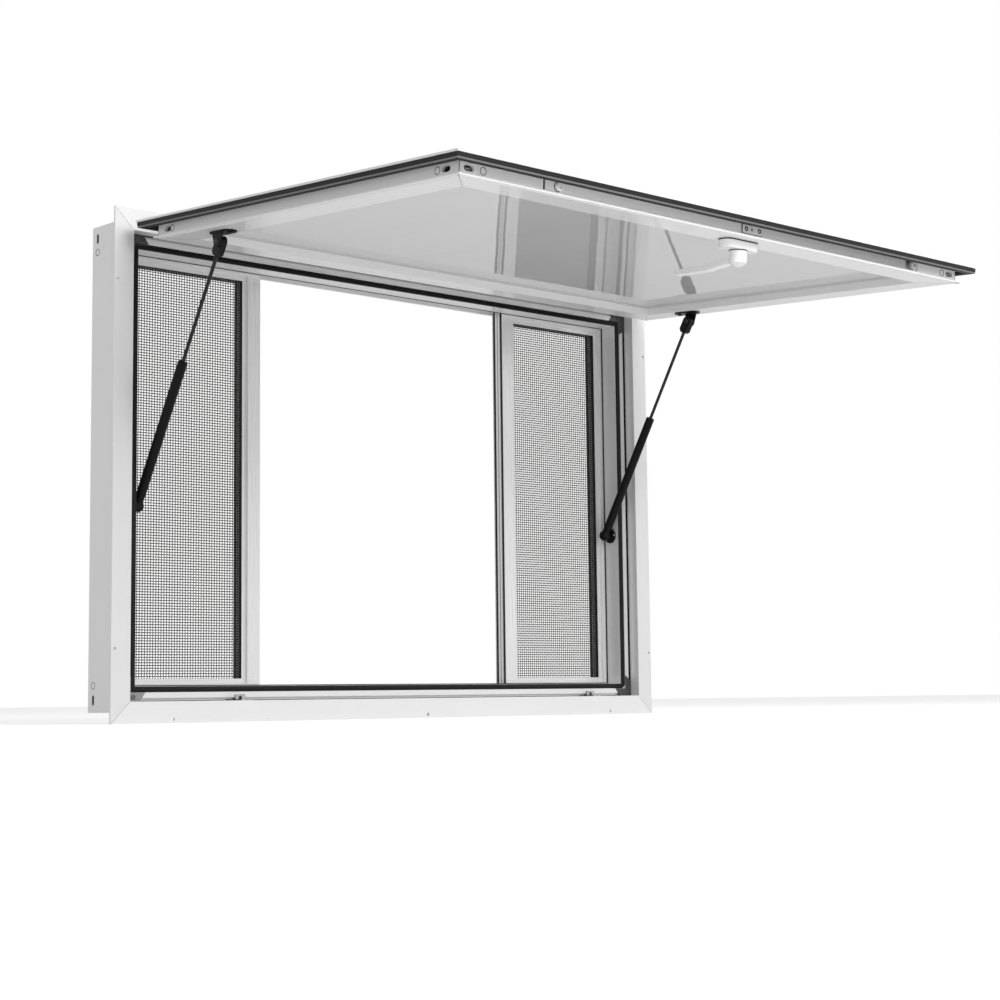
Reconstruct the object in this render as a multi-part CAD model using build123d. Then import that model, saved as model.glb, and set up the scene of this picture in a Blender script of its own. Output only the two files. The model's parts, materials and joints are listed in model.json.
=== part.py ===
from build123d import *
from math import atan2, cos, degrees, hypot, radians, sin, sqrt
import os

# Concession window for a cut-out of 36 by 24 inches, in millimetres.
# X runs along the window, Y into the wall, Z up. The origin lies on the back
# face of the sill's flange, half way up the part that laps over the wall.

# Frame
flange_width = 940.0
flange_height = 634.0
flange_thickness = 3.0
flange_overlap = 14.0      # how far the flange laps over the wall on each side
flange_face = 27.0         # visible width of the flange, edge to rebate
screw_hole_radius = 2.1
screw_inset = 5.0          # edge of the flange to its screws
jamb_screw_spacing = 452.0
sill_screw_spacing = 762.0
frame_depth = 74.5         # front of the flange to the back of the box
frame_wall = 2.0
box_slot_length = 12.5     # slots for setting the corner joints
box_slot_width = 5.2
box_slot_inset = 15.0      # end of the box to the middle of its corner slot
box_slot_from_back = 11.5
rebate_depth = 17.6        # front of the flange to the step that faces the hatch
step_width = 11.0          # bare part of that step
step_groove_width = 3.8    # groove between the step and the side of the rebate
step_groove_depth = 3.0
gasket_width = 7.5
gasket_seat = 2.4          # how far the gasket's seat lies behind the step
gasket_proud = 0.4         # how far the gasket stands in front of the step
nose_depth = 27.8          # inner face of the frame, gasket seat to screen track

# Screens
screen_thickness = 10.0
screen_gap = 0.3           # running gap each side of a screen in its track
track_rib = 1.3
track_depth = 8.0
screen_lift = 2.0          # headroom over a screen, so that it lifts out
screen_width = 214.7
pull_stile_face = 19.5
bead_width = 6.4
bead_step = 4.0
pull_channel_depth = 8.0   # finger channel along the edge of the pull stile
pull_channel_width = 5.3
pull_channel_wall = 1.1
outer_stile = 22.0
screen_rail = 17.5
mesh_thickness = 1.0
mesh_set_back = 6.5        # face of the screen's frame to the mesh

# Hatch
hatch_overlap = 10.0       # hatch skin past the rebate on each side
hatch_gap = 9.5            # front of the flange to the skin when shut
skin_thickness = 2.5
seal_inset = 1.0
seal_width = 11.0
seal_height = 7.4
rail_inset = 19.9          # edge of the skin to the rail
rail_height = 20.0
rail_width = 37.5
rail_lip = 4.4
rail_lip_thickness = 1.8
rail_lip_set_back = 0.8
rail_slot_length = 14.0
rail_slot_width = 6.5
rail_slot_inset = 13.5     # end of a front or hinge rail to the middle of its corner slot
side_slot_inset = 21.0     # the same for a side rail
rail_slot_centre = 10.0    # inside of the skin to the corner slots
core_thickness = 8.5
core_bead = 4.0
core_bead_height = 2.0
open_angle = 86.8

# Hinge
knuckle_radius = 5.0
hinge_pin_radius = 2.5
hinge_clearance = 0.05
hinge_forward = 8.1        # inside of the skin to the pin, outwards
hinge_above = 2.85         # top edge of the skin to the pin, upwards
hinge_knuckles = 5
hinge_margin = 50.0
knuckle_gap = 0.5
leaf_thickness = 2.0
leaf_drop = 24.0

# Struts
strut_inset = 12.0         # jamb to the middle of the strut
strut_length = 352.5       # pin to ball with the hatch open
strut_pin_down = 125.5     # hinge edge of the skin to the strut's pin
strut_pin_in = 33.0        # inside of the skin to the strut's pin
ball_depth = 36.0          # front of the flange to the ball stud
strut_pin_radius = 2.5
rod_radius = 2.25
tube_radius = 6.1
tube_wall = 1.0
tube_bevel = 0.9
tube_length = 178.0
guide_length = 10.0
piston_length = 8.0
rod_clearance = 0.05
eye_thickness = 8.0
eye_width = 14.5
eye_length = 18.0
eye_taper = 3.5
socket_radius = 6.7
socket_above = 18.0        # ball to the end of its socket, up the tube
socket_below = 7.0
socket_bevel = 1.2
socket_gap = 0.6           # socket to the end of its ball stud
stud_radius = 3.5
stud_collar_radius = 7.2
stud_collar_length = 3.6
bracket_thickness = 2.0
bracket_length = 43.0
bracket_width = 19.0
bracket_shift = 2.5        # middle of the strut to the middle of its bracket's plate, inwards
lug_thickness = 2.1
lug_gap = 0.4
lug_radius = 7.0
lug_flare = 4.0            # how much the lug widens to each side at its plate

# Latch
handle_x = 26.0
handle_up = 41.0           # front edge of the skin to the handle's spindle
handle_base_length = 59.0
handle_base_width = 20.4
handle_base_height = 11.0
boss_radius = 10.6
boss_height = 15.0
boss_cone = 4.0
boss_tip_radius = 5.0
boss_gap = 0.4
lever_length = 99.0
lever_width = 13.0
lever_thickness = 6.0
lever_drop = 4.5           # bend of the lever, away from the hatch
lever_bend_start = 14.0    # spindle to the bend, along the lever
lever_bend_end = 46.0
lever_tip_radius = 4.5
bar_start = 122.0          # left end of the front rail to the bar
bar_end = 82.0             # bar to the right end of the front rail
bar_width = 11.0
bar_thickness = 1.8
bar_centre = 9.2           # inside of the skin to the middle of the bar
bar_gap = 0.3
bar_end_gap = 3.0          # left end of the bar to the end of its groove
bolt_travel = 8.0
bolt_start = 18.6          # left end of the bar to the left bolt
bolt_end = 12.9            # right bolt to the right end of the bar, shot
bolt_radius = 4.7
bolt_height = 5.0
bolt_bevel = 0.8
bolt_hex_radius = 2.3
bolt_hex_depth = 2.0
drive_length = 35.0
drive_width = 10.0
drive_thickness = 1.2
left_keeper_offset = 22.0  # bolt at rest to the middle of its keeper
right_keeper_offset = 18.0
keeper_length = 15.0
keeper_height = 7.0
keeper_thickness = 1.5
keeper_hole_radius = 1.5
foot_length = 14.0         # part of the keeper's foot beyond its upright
foot_slot_width = 6.0
corner_key_thickness = 1.2

# Frame coordinates
bottom = -flange_overlap / 2
top = bottom + flange_height
half_width = flange_width / 2
flange_rect = (-half_width, half_width, bottom, top)
front = -flange_thickness
step_y = front + rebate_depth
seat_y = step_y + gasket_seat
track_y = seat_y + nose_depth
gasket_start = flange_face + step_width
opening_inset = gasket_start + gasket_width
track_inset = opening_inset - track_depth
back = front + frame_depth
track_back = track_y + 2 * screen_thickness + 4 * screen_gap + track_rib

# Hatch coordinates, with the hatch shut
strut_x = half_width - opening_inset - strut_inset
skin_y = front - hatch_gap
hatch_top = top - flange_face + hatch_overlap
hatch_bottom = bottom + flange_face - hatch_overlap
hatch_half = half_width - flange_face + hatch_overlap
hatch_height = hatch_top - hatch_bottom
hinge_y = skin_y - hinge_forward
hinge_z = hatch_top + hinge_above
hinge_axis = Axis((0, hinge_y, hinge_z), (1, 0, 0))


def outline(points, plane):
    return plane * make_face(Polyline(*points, close=True))


def mitred_bar(side, rect, loops):
    """One side of a rectangular frame, mitred at both ends.

    Each loop lists points as (distance in from the rectangle, y); the first
    loop is the section's outside and the others are its chambers.
    """
    left, right, low, high = rect
    upright = side in ("left", "right")
    edge = {"left": left, "right": right, "bottom": low, "top": high}[side]
    inward = 1 if side in ("left", "bottom") else -1
    out = -min(u for u, y in loops[0] + [(0, 0)])
    plane = Plane.XY.offset(low - out) if upright else Plane.YZ.offset(left - out)
    length = (high - low if upright else right - left) + 2 * out
    faces = []
    for loop in loops:
        across = [(edge + inward * u, y) for u, y in loop]
        faces.append(outline(across if upright else [(y, z) for z, y in across], plane))
    section = faces[0]
    for chamber in faces[1:]:
        section = section - chamber
    bar = extrude(section, length)
    reach = max(u for u, y in loops[0])
    tip, brink = edge + inward * reach, edge - inward * out
    if upright:
        wedge = [(brink, low - out), (brink, high + out), (tip, high - reach), (tip, low + reach)]
    else:
        wedge = [(left - out, brink), (right + out, brink), (right - reach, tip), (left + reach, tip)]
    cutter = extrude(outline(wedge, Plane.XZ), frame_depth * 2, both=True)
    return bar & cutter


def block(x0, x1, y0, y1, z0, z1):
    size = (x1 - x0, y1 - y0, z1 - z0)
    return Pos((x0 + x1) / 2, (y0 + y1) / 2, (z0 + z1) / 2) * Box(*size)


def rod_along_x(radius, x0, x1, y, z):
    return Pos((x0 + x1) / 2, y, z) * Rot(0, 90, 0) * Cylinder(radius, abs(x1 - x0))


def opened(shape):
    """Swing a piece of the shut hatch up to where the hatch rests open."""
    return shape.rotate(hinge_axis, -open_angle)


def on_hatch(inwards, down):
    """The place (y, z) of a point of the shut hatch."""
    return skin_y + inwards, hatch_top - down


def swung(y, z):
    """Where the open hatch carries a point (y, z) of the shut hatch."""
    turn = radians(-open_angle)
    dy, dz = y - hinge_y, z - hinge_z
    return hinge_y + dy * cos(turn) - dz * sin(turn), hinge_z + dy * sin(turn) + dz * cos(turn)


def frame_loops():
    wall = frame_wall
    groove_end = flange_face + step_groove_width
    groove_y = step_y + step_groove_depth
    outside = [
        (0, front), (flange_face, front), (flange_face, groove_y), (groove_end, groove_y),
        (groove_end, step_y), (gasket_start, step_y),
        (gasket_start, seat_y), (opening_inset, seat_y), (opening_inset, track_y),
        (track_inset, track_y), (track_inset, track_back), (opening_inset, track_back),
        (opening_inset, back), (flange_overlap, back), (flange_overlap, 0), (0, 0),
    ]
    outer_chamber = [
        (flange_overlap + wall, front + 2 * wall), (flange_face - wall, front + 2 * wall),
        (flange_face - wall, back - wall), (flange_overlap + wall, back - wall),
    ]
    inner_chamber = [
        (flange_face, groove_y + wall), (track_inset - wall, groove_y + wall),
        (track_inset - wall, back - wall), (flange_face, back - wall),
    ]
    return [outside, outer_chamber, inner_chamber]


def track_rib_loop():
    rib_y = track_y + screen_thickness + 2 * screen_gap
    return [
        (track_inset, rib_y), (opening_inset - screen_lift, rib_y),
        (opening_inset - screen_lift, rib_y + track_rib), (track_inset, rib_y + track_rib),
    ]


def screw_hole(x, z):
    return Pos(x, front / 2, z) * Rot(90, 0, 0) * Cylinder(screw_hole_radius, 2 * flange_thickness)


def corner_slot(x, y, z, along, through, length, width):
    """Slot for setting a corner joint, along one axis and cut along another."""
    plane = Plane((x, y, z), x_dir=along, z_dir=through)
    return extrude(plane * SlotOverall(length, width), frame_wall * 3, both=True)


def frame_member(side):
    member = mitred_bar(side, flange_rect, frame_loops())
    middle = (bottom + top) / 2
    slot_y = back - box_slot_from_back
    box_edge = flange_overlap
    if side in ("left", "right"):
        x = (half_width - box_edge) * (1 if side == "right" else -1)
        for z in (bottom + box_edge + box_slot_inset, top - box_edge - box_slot_inset):
            member -= corner_slot(x, slot_y, z, (0, 0, 1), (1, 0, 0), box_slot_length, box_slot_width)
    if side == "bottom":
        for x in (-sill_screw_spacing / 2, sill_screw_spacing / 2):
            member -= screw_hole(x, bottom + screw_inset)
    if side in ("left", "right"):
        x = (half_width - screw_inset) * (1 if side == "right" else -1)
        for z in (middle - jamb_screw_spacing / 2, middle + jamb_screw_spacing / 2):
            member -= screw_hole(x, z)
    if side in ("bottom", "top"):
        member = member + mitred_bar(side, flange_rect, [track_rib_loop()])
    return member


def gasket_loop():
    middle = (gasket_start + opening_inset) / 2
    tip = step_y - gasket_proud
    shoulder = step_y + gasket_proud * 2
    return [
        (gasket_start, seat_y), (opening_inset, seat_y), (opening_inset, shoulder),
        (middle, tip), (gasket_start, shoulder),
    ]


def corner_key(side_x, side_z):
    """Angle plate that holds one mitre of the rebate, let into the step."""
    x = half_width - flange_face
    z = (flange_height / 2 - flange_face)
    run, rise, lap = 24.0, 22.0, 8.0
    points = [
        (x, z), (x - run, z), (x - run - lap, z - step_width), (x - step_width, z - step_width),
        (x - step_width, z - rise - lap), (x, z - rise),
    ]
    middle = (top + bottom) / 2
    placed = [(side_x * px, middle + side_z * pz) for px, pz in points]
    plane = Plane.XZ.offset(-step_y)
    return extrude(outline(placed, plane), corner_key_thickness)


def screen_frame(side, row):
    """Frame of one sliding screen, with its broad pull stile at the middle."""
    y0 = track_y + screen_gap + row * (screen_thickness + 2 * screen_gap + track_rib)
    y1 = y0 + screen_thickness
    low = bottom + track_inset
    high = top - opening_inset + track_depth - screen_lift
    outer = half_width - track_inset - screen_gap
    inner = outer - screen_width
    stile = pull_stile_face + bead_width
    frame = block(inner, outer, y0, y1, low, high)
    frame -= block(inner + stile, outer - outer_stile, y0, y1, low + screen_rail, high - screen_rail)
    bead_z = screen_rail - bead_width
    bead = block(inner + pull_stile_face, outer - outer_stile + bead_width, y0, y0 + bead_step,
                 low + bead_z, high - bead_z)
    frame -= bead
    near = y1 - pull_channel_wall - pull_channel_width if row else y0 + pull_channel_wall
    frame -= block(inner, inner + pull_channel_depth, near, near + pull_channel_width, low, high)
    return frame if side > 0 else mirror(frame, Plane.YZ)


def screen_mesh(side, row):
    y0 = track_y + screen_gap + row * (screen_thickness + 2 * screen_gap + track_rib)
    low = bottom + track_inset + screen_rail
    high = top - opening_inset + track_depth - screen_lift - screen_rail
    outer = half_width - track_inset - screen_gap
    inner = outer - screen_width + pull_stile_face + bead_width
    outer = outer - outer_stile
    mesh_y = y0 + mesh_set_back
    mesh = block(inner, outer, mesh_y, mesh_y + mesh_thickness, low, high)
    return mesh if side > 0 else mirror(mesh, Plane.YZ)


def keeper(x):
    """Latch keeper in the sill's rebate: an upright with a hole and a slotted foot."""
    low = bottom + flange_face
    x0, x1 = x - keeper_length / 2, x + keeper_length / 2
    upright = block(x0, x1, step_y - keeper_thickness, step_y, low, low + keeper_height)
    foot = block(x0 - foot_length, x1, front + 1, step_y, low, low + keeper_thickness)
    hole = Pos(x, step_y, low + keeper_height / 2) * Rot(90, 0, 0) * Cylinder(keeper_hole_radius, 9)
    middle = skin_y + bar_centre
    slot = block(x0 - foot_length / 2, x, middle - foot_slot_width / 2, middle + foot_slot_width / 2,
                 low, low + keeper_thickness)
    return upright + foot - hole - slot


def knuckle_spans():
    """Spans of the hinge's knuckles along X, shared out in turn."""
    length = 2 * (hatch_half - hinge_margin) / hinge_knuckles
    start = -hatch_half + hinge_margin
    return [(start + i * length + knuckle_gap / 2, start + (i + 1) * length - knuckle_gap / 2)
            for i in range(hinge_knuckles)]


def frame_leaf():
    """Fixed half of the continuous hinge, screwed to the head's flange."""
    x0, x1 = -hatch_half + hinge_margin, hatch_half - hinge_margin
    web_top = hinge_z + knuckle_radius
    web_low = web_top - leaf_thickness
    leaf = block(x0, x1, front - leaf_thickness, front, web_low, top - leaf_thickness)
    clear = knuckle_radius + leaf_thickness
    leaf += block(x0, x1, hinge_y + clear, front, web_low, web_top)
    bore = hinge_pin_radius
    for start, end in knuckle_spans()[::2]:
        leaf += block(start, end, hinge_y, front, web_low, web_top)
        leaf += rod_along_x(knuckle_radius, start, end, hinge_y, hinge_z)
    return leaf - rod_along_x(bore, x0, x1, hinge_y, hinge_z)


def hatch_leaf():
    """Moving half of the hinge, riveted to the outside of the skin."""
    x0, x1 = -hatch_half + hinge_margin, hatch_half - hinge_margin
    face = skin_y - skin_thickness
    low = hatch_top - leaf_drop
    leaf = block(x0, x1, face - leaf_thickness, face, low, hinge_z - knuckle_radius - leaf_thickness)
    for start, end in knuckle_spans()[1::2]:
        leaf += block(start, end, face - leaf_thickness, face, low, hinge_z)
        leaf += rod_along_x(knuckle_radius, start, end, hinge_y, hinge_z)
    bore = hinge_pin_radius + hinge_clearance
    return leaf - rod_along_x(bore, x0, x1, hinge_y, hinge_z)


def hinge_pin():
    x = hatch_half - hinge_margin
    return rod_along_x(hinge_pin_radius, -x, x, hinge_y, hinge_z)


def hatch_skin():
    return block(-hatch_half, hatch_half, skin_y - skin_thickness, skin_y, hatch_bottom, hatch_top)


def hatch_seal():
    """Bulb seal round the edge of the skin, which presses on the flange."""
    rect = (-hatch_half + seal_inset, hatch_half - seal_inset,
            hatch_bottom + seal_inset, hatch_top - seal_inset)
    loop = [
        (0, skin_y), (0, skin_y + seal_height / 2), (seal_width * 0.35, skin_y + seal_height),
        (seal_width * 0.65, skin_y + seal_height), (seal_width, skin_y + seal_height / 2),
        (seal_width, skin_y),
    ]
    ring = None
    for side in ("bottom", "top", "left", "right"):
        bar = mitred_bar(side, rect, [loop])
        ring = bar if ring is None else ring + bar
    return ring


rail_rect = (-hatch_half + rail_inset, hatch_half - rail_inset,
             hatch_bottom + rail_inset, hatch_top - rail_inset)
bar_left = rail_rect[0] + bar_start
bar_right = rail_rect[1] - bar_end
bolts_x = (bar_left + bolt_start, bar_right - bolt_end)
keeper_places = zip(bolts_x, (left_keeper_offset, right_keeper_offset))


def rail_loops():
    low, high = skin_y, skin_y + rail_height
    lip_high = high - rail_lip_set_back
    lip_low = lip_high - rail_lip_thickness
    wall = frame_wall
    outside = [
        (0, low), (rail_width, low), (rail_width, high), (0, high), (0, lip_high),
        (-rail_lip, lip_high), (-rail_lip, lip_low), (0, lip_low),
    ]
    chamber = [
        (wall * 2, low + wall), (rail_width - wall, low + wall),
        (rail_width - wall, high - wall), (wall * 2, high - wall),
    ]
    return [outside, chamber]


def hatch_rail(side):
    rail = mitred_bar(side, rail_rect, rail_loops())
    if side == "bottom":
        low = skin_y + bar_centre - bar_width / 2 - bar_gap
        high = skin_y + bar_centre + bar_width / 2 + bar_gap
        groove = block(bar_left - bar_end_gap, bar_right + bar_gap, low, high, rail_rect[2],
                       rail_rect[2] + bar_thickness + bar_gap)
        rail -= groove
    slot_y = skin_y + rail_slot_centre
    size = (rail_slot_length, rail_slot_width)
    if side in ("left", "right"):
        x = rail_rect[0] if side == "left" else rail_rect[1]
        for z in (rail_rect[2] + side_slot_inset, rail_rect[3] - side_slot_inset):
            rail -= corner_slot(x, slot_y, z, (0, 0, 1), (1, 0, 0), *size)
    else:
        z = rail_rect[2] if side == "bottom" else rail_rect[3]
        for x in (rail_rect[0] + rail_slot_inset, rail_rect[1] - rail_slot_inset):
            rail -= corner_slot(x, slot_y, z, (1, 0, 0), (0, 0, 1), *size)
    return rail


def hatch_core():
    """Insulated panel between the rails, with a glazing bead round it."""
    x0, x1, z0, z1 = rail_rect
    inner = (x0 + rail_width, x1 - rail_width, z0 + rail_width, z1 - rail_width)
    core = block(inner[0], inner[1], skin_y, skin_y + core_thickness, inner[2], inner[3])
    bead_y = skin_y + core_thickness
    core += block(inner[0], inner[1], bead_y, bead_y + core_bead_height, inner[2], inner[3])
    core -= block(inner[0] + core_bead, inner[1] - core_bead, bead_y, bead_y + core_bead_height,
                  inner[2] + core_bead, inner[3] - core_bead)
    return core


def strut_bracket(side):
    """Plate, lug and pin under a side rail, which carry a strut's upper eye."""
    foot, pin_z = on_hatch(rail_height, strut_pin_down)
    pin_y = skin_y + strut_pin_in
    lug_inner = strut_x + eye_thickness / 2 + lug_gap
    lug_outer = lug_inner + lug_thickness
    plate_plane = Plane((strut_x - bracket_shift, foot, pin_z), x_dir=(0, 0, 1), z_dir=(0, 1, 0))
    plate = extrude(plate_plane * SlotOverall(bracket_length, bracket_width), bracket_thickness)
    flare = lug_radius + lug_flare
    sides = Polyline((pin_y, pin_z + lug_radius), (foot, pin_z + flare), (foot, pin_z - flare),
                     (pin_y, pin_z - lug_radius))
    lug_face = make_face(Curve() + [sides, RadiusArc(sides @ 1, sides @ 0, -lug_radius)])
    lug = extrude(Plane.YZ.offset(lug_inner) * lug_face, lug_thickness)
    pin = rod_along_x(strut_pin_radius, strut_x - eye_thickness / 2, lug_outer, pin_y, pin_z)
    return plate + lug + pin if side > 0 else mirror(plate + lug + pin, Plane.YZ)


pin_shut = on_hatch(strut_pin_in, strut_pin_down)
pin_open = swung(*pin_shut)
ball_y = front + ball_depth
ball = (ball_y, pin_open[1] - sqrt(strut_length ** 2 - (ball_y - pin_open[0]) ** 2))
strut_shut = hypot(ball[0] - pin_shut[0], ball[1] - pin_shut[1])
strut_lean = degrees(atan2(ball[0] - pin_open[0], pin_open[1] - ball[1]))
strut_lean_shut = degrees(atan2(ball[0] - pin_shut[0], pin_shut[1] - ball[1]))


def strut_place(side):
    return Pos(side * strut_x, pin_open[0], pin_open[1]) * Rot(strut_lean, 0, 0)


def upright_rod(radius, z0, z1):
    return Pos(0, 0, (z0 + z1) / 2) * Cylinder(radius, abs(z1 - z0))


def strut_eye(side):
    """End fitting on the rod, turning on the bracket's pin."""
    half = eye_width / 2
    neck = half - eye_taper
    points = [(half, 0), (half, eye_taper - eye_length), (neck, -eye_length), (-neck, -eye_length),
              (-half, eye_taper - eye_length), (-half, 0)]
    eye = extrude(outline(points, Plane.YZ), eye_thickness / 2, both=True)
    eye += rod_along_x(half, -eye_thickness / 2, eye_thickness / 2, 0, 0)
    eye -= rod_along_x(strut_pin_radius + hinge_clearance, -eye_thickness, eye_thickness, 0, 0)
    return strut_place(side) * eye


def strut_rod(side):
    end = -(strut_length - socket_above - tube_length + guide_length + piston_length)
    rod = upright_rod(rod_radius, -eye_length, end)
    rod += upright_rod(tube_radius - tube_wall - 2 * rod_clearance, end, end + piston_length - rod_clearance)
    return strut_place(side) * rod


def strut_tube(side):
    foot = -(strut_length - socket_above)
    mouth = foot + tube_length
    tube = upright_rod(tube_radius, mouth, foot)
    tube = chamfer(tube.edges().sort_by(Axis.Z)[-1], tube_bevel)
    tube -= upright_rod(rod_radius + rod_clearance, mouth, mouth - guide_length)
    tube -= upright_rod(tube_radius - tube_wall, mouth - guide_length, foot + 2 * tube_wall)
    return strut_place(side) * tube


def strut_socket(side):
    """Ball socket at the foot of the tube, in line with it."""
    socket = upright_rod(socket_radius, socket_above - strut_length, -strut_length - socket_below)
    socket = chamfer(socket.edges().sort_by(Axis.Z)[0], socket_bevel)
    socket = chamfer(socket.edges().sort_by(Axis.Z)[-1], socket_bevel / 3)
    return strut_place(side) * socket


def ball_stud(side):
    """Stud on the jamb, with its collar, which holds the ball."""
    face = half_width - opening_inset
    stud = rod_along_x(stud_radius, strut_x + socket_radius + socket_gap, face, *ball)
    collar = rod_along_x(stud_collar_radius, face - stud_collar_length, face, *ball)
    return stud + collar if side > 0 else mirror(stud + collar, Plane.YZ)


def handle_base():
    y, z = on_hatch(rail_height, hatch_height - handle_up)
    plane = Plane((handle_x, y, z), x_dir=(1, 0, 0), z_dir=(0, 1, 0))
    return extrude(plane * SlotOverall(handle_base_length, handle_base_width), handle_base_height)


def handle_lever():
    """Spindle boss with its bevelled end, and the bent lever that turns it."""
    foot = rail_height + handle_base_height + boss_gap
    y, z = on_hatch(foot, hatch_height - handle_up)
    tip = boss_height + boss_cone
    section = [(0, 0), (boss_radius, 0), (boss_radius, boss_height), (boss_tip_radius, tip), (0, tip)]
    boss = revolve(outline(section, Plane.XY), Axis.Y)
    root, end = boss_height - lever_thickness, boss_height - lever_thickness + lever_drop
    near = [(root, 0), (root, lever_bend_start), (end, lever_bend_end), (end, lever_length)]
    far = [(across + lever_thickness, along) for across, along in reversed(near)]
    lever = extrude(outline(near + far, Plane.YZ), lever_width / 2, both=True)
    lever = fillet(lever.edges().filter_by(Axis.Y).group_by(Axis.Z)[-1], lever_tip_radius)
    return Pos(handle_x, y, z) * (boss + lever)


def latch_bar():
    """Sliding bar in the front rail, with the two bolts that it carries."""
    z = rail_rect[2]
    low, high = skin_y + bar_centre - bar_width / 2, skin_y + bar_centre + bar_width / 2
    foot = z + bar_gap
    bar = block(bar_left, bar_right - bolt_travel - bar_gap, low, high, foot, foot + bar_thickness)
    for x in bolts_x:
        head = Plane((x, skin_y + bar_centre, foot - bolt_height))
        bolt = extrude(head * Circle(bolt_radius), bolt_height)
        bolt = chamfer(bolt.edges().sort_by(Axis.Z)[0], bolt_bevel)
        bar += bolt - extrude(head * RegularPolygon(bolt_hex_radius, 6), bolt_hex_depth)
    return bar


def drive_plate():
    """Plate on the bar, by which the handle's spindle drives it."""
    x0, x1 = handle_x - drive_length / 2, handle_x + drive_length / 2
    middle = skin_y + bar_centre
    face = rail_rect[2] + bar_gap
    return block(x0, x1, middle - drive_width / 2, middle + drive_width / 2, face - drive_thickness, face)


nodes = {}
sides = {"sill": "bottom", "head": "top", "jamb_left": "left", "jamb_right": "right"}
for name, side in sides.items():
    nodes["frame_" + name] = frame_member(side)
    nodes["gasket_" + name] = mitred_bar(side, flange_rect, [gasket_loop()])
nodes["corner_keys"] = Compound([corner_key(a, b) for a in (-1, 1) for b in (-1, 1)])
nodes["latch_keepers"] = Compound([keeper(x + offset) for x, offset in keeper_places])
for name, side in (("left", -1), ("right", 1)):
    for row, place in enumerate(("front", "rear")):
        nodes[f"screen_{name}_{place}_frame"] = screen_frame(side, row)
        nodes[f"screen_{name}_{place}_mesh"] = screen_mesh(side, row)
    nodes[f"strut_{name}_ball_stud"] = ball_stud(side)
    nodes[f"strut_{name}_bracket"] = opened(strut_bracket(side))
    nodes[f"strut_{name}_eye"] = strut_eye(side)
    nodes[f"strut_{name}_rod"] = strut_rod(side)
    nodes[f"strut_{name}_tube"] = strut_tube(side)
    nodes[f"strut_{name}_socket"] = strut_socket(side)
nodes["hinge_frame_leaf"] = frame_leaf()
nodes["hinge_pin"] = hinge_pin()
nodes["hinge_hatch_leaf"] = opened(hatch_leaf())
nodes["hatch_skin"] = opened(hatch_skin())
nodes["hatch_seal"] = opened(hatch_seal())
nodes["hatch_core"] = opened(hatch_core())
rails = {"front": "bottom", "hinge": "top", "left": "left", "right": "right"}
for name, side in rails.items():
    nodes["hatch_rail_" + name] = opened(hatch_rail(side))
nodes["handle_base"] = opened(handle_base())
nodes["handle_lever"] = opened(handle_lever())
nodes["latch_bar"] = opened(latch_bar())
nodes["latch_drive_plate"] = opened(drive_plate())

os.makedirs("parts", exist_ok=True)
for name, shape in nodes.items():
    export_step(shape, f"parts/{name}.step")
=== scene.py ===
import bpy
import bmesh
import json
from math import cos, pi, radians, sin
from mathutils import Matrix, Vector


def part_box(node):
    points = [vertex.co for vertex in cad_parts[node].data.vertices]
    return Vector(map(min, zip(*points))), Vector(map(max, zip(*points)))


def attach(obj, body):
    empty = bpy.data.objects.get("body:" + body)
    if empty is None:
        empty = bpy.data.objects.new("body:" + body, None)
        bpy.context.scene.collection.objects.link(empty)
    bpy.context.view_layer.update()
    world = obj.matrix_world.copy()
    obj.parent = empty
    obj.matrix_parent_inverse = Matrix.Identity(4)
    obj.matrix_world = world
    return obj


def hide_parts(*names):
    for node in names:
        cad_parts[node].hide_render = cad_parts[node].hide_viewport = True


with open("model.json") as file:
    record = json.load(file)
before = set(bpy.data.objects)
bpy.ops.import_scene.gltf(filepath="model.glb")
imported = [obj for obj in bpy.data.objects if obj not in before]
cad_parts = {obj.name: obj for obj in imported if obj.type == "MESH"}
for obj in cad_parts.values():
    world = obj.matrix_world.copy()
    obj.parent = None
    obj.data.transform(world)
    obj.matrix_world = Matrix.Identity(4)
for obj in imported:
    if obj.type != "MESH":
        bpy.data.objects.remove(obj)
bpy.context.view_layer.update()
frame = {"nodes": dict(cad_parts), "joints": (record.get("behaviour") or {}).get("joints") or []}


# Frame
# Four mitred lengths of one hollow aluminium extrusion, screwed to the wall through
# the flange. They have a light silver lacquer, and fine die lines run along each length.
class Signal:
    """A value in a material. Arithmetic on it adds Math nodes."""

    def __init__(self, finish, socket):
        self.finish, self.socket = finish, socket

    def math(self, operation, first, second):
        return self.finish.node("Math", {"operation": operation}, {0: first, 1: second})

    def __add__(self, other):
        return self.math("ADD", self, other)

    def __rsub__(self, other):
        return self.math("SUBTRACT", other, self)

    def __mul__(self, other):
        return self.math("MULTIPLY", self, other)

    def __gt__(self, other):
        return self.math("GREATER_THAN", self, other)


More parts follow.
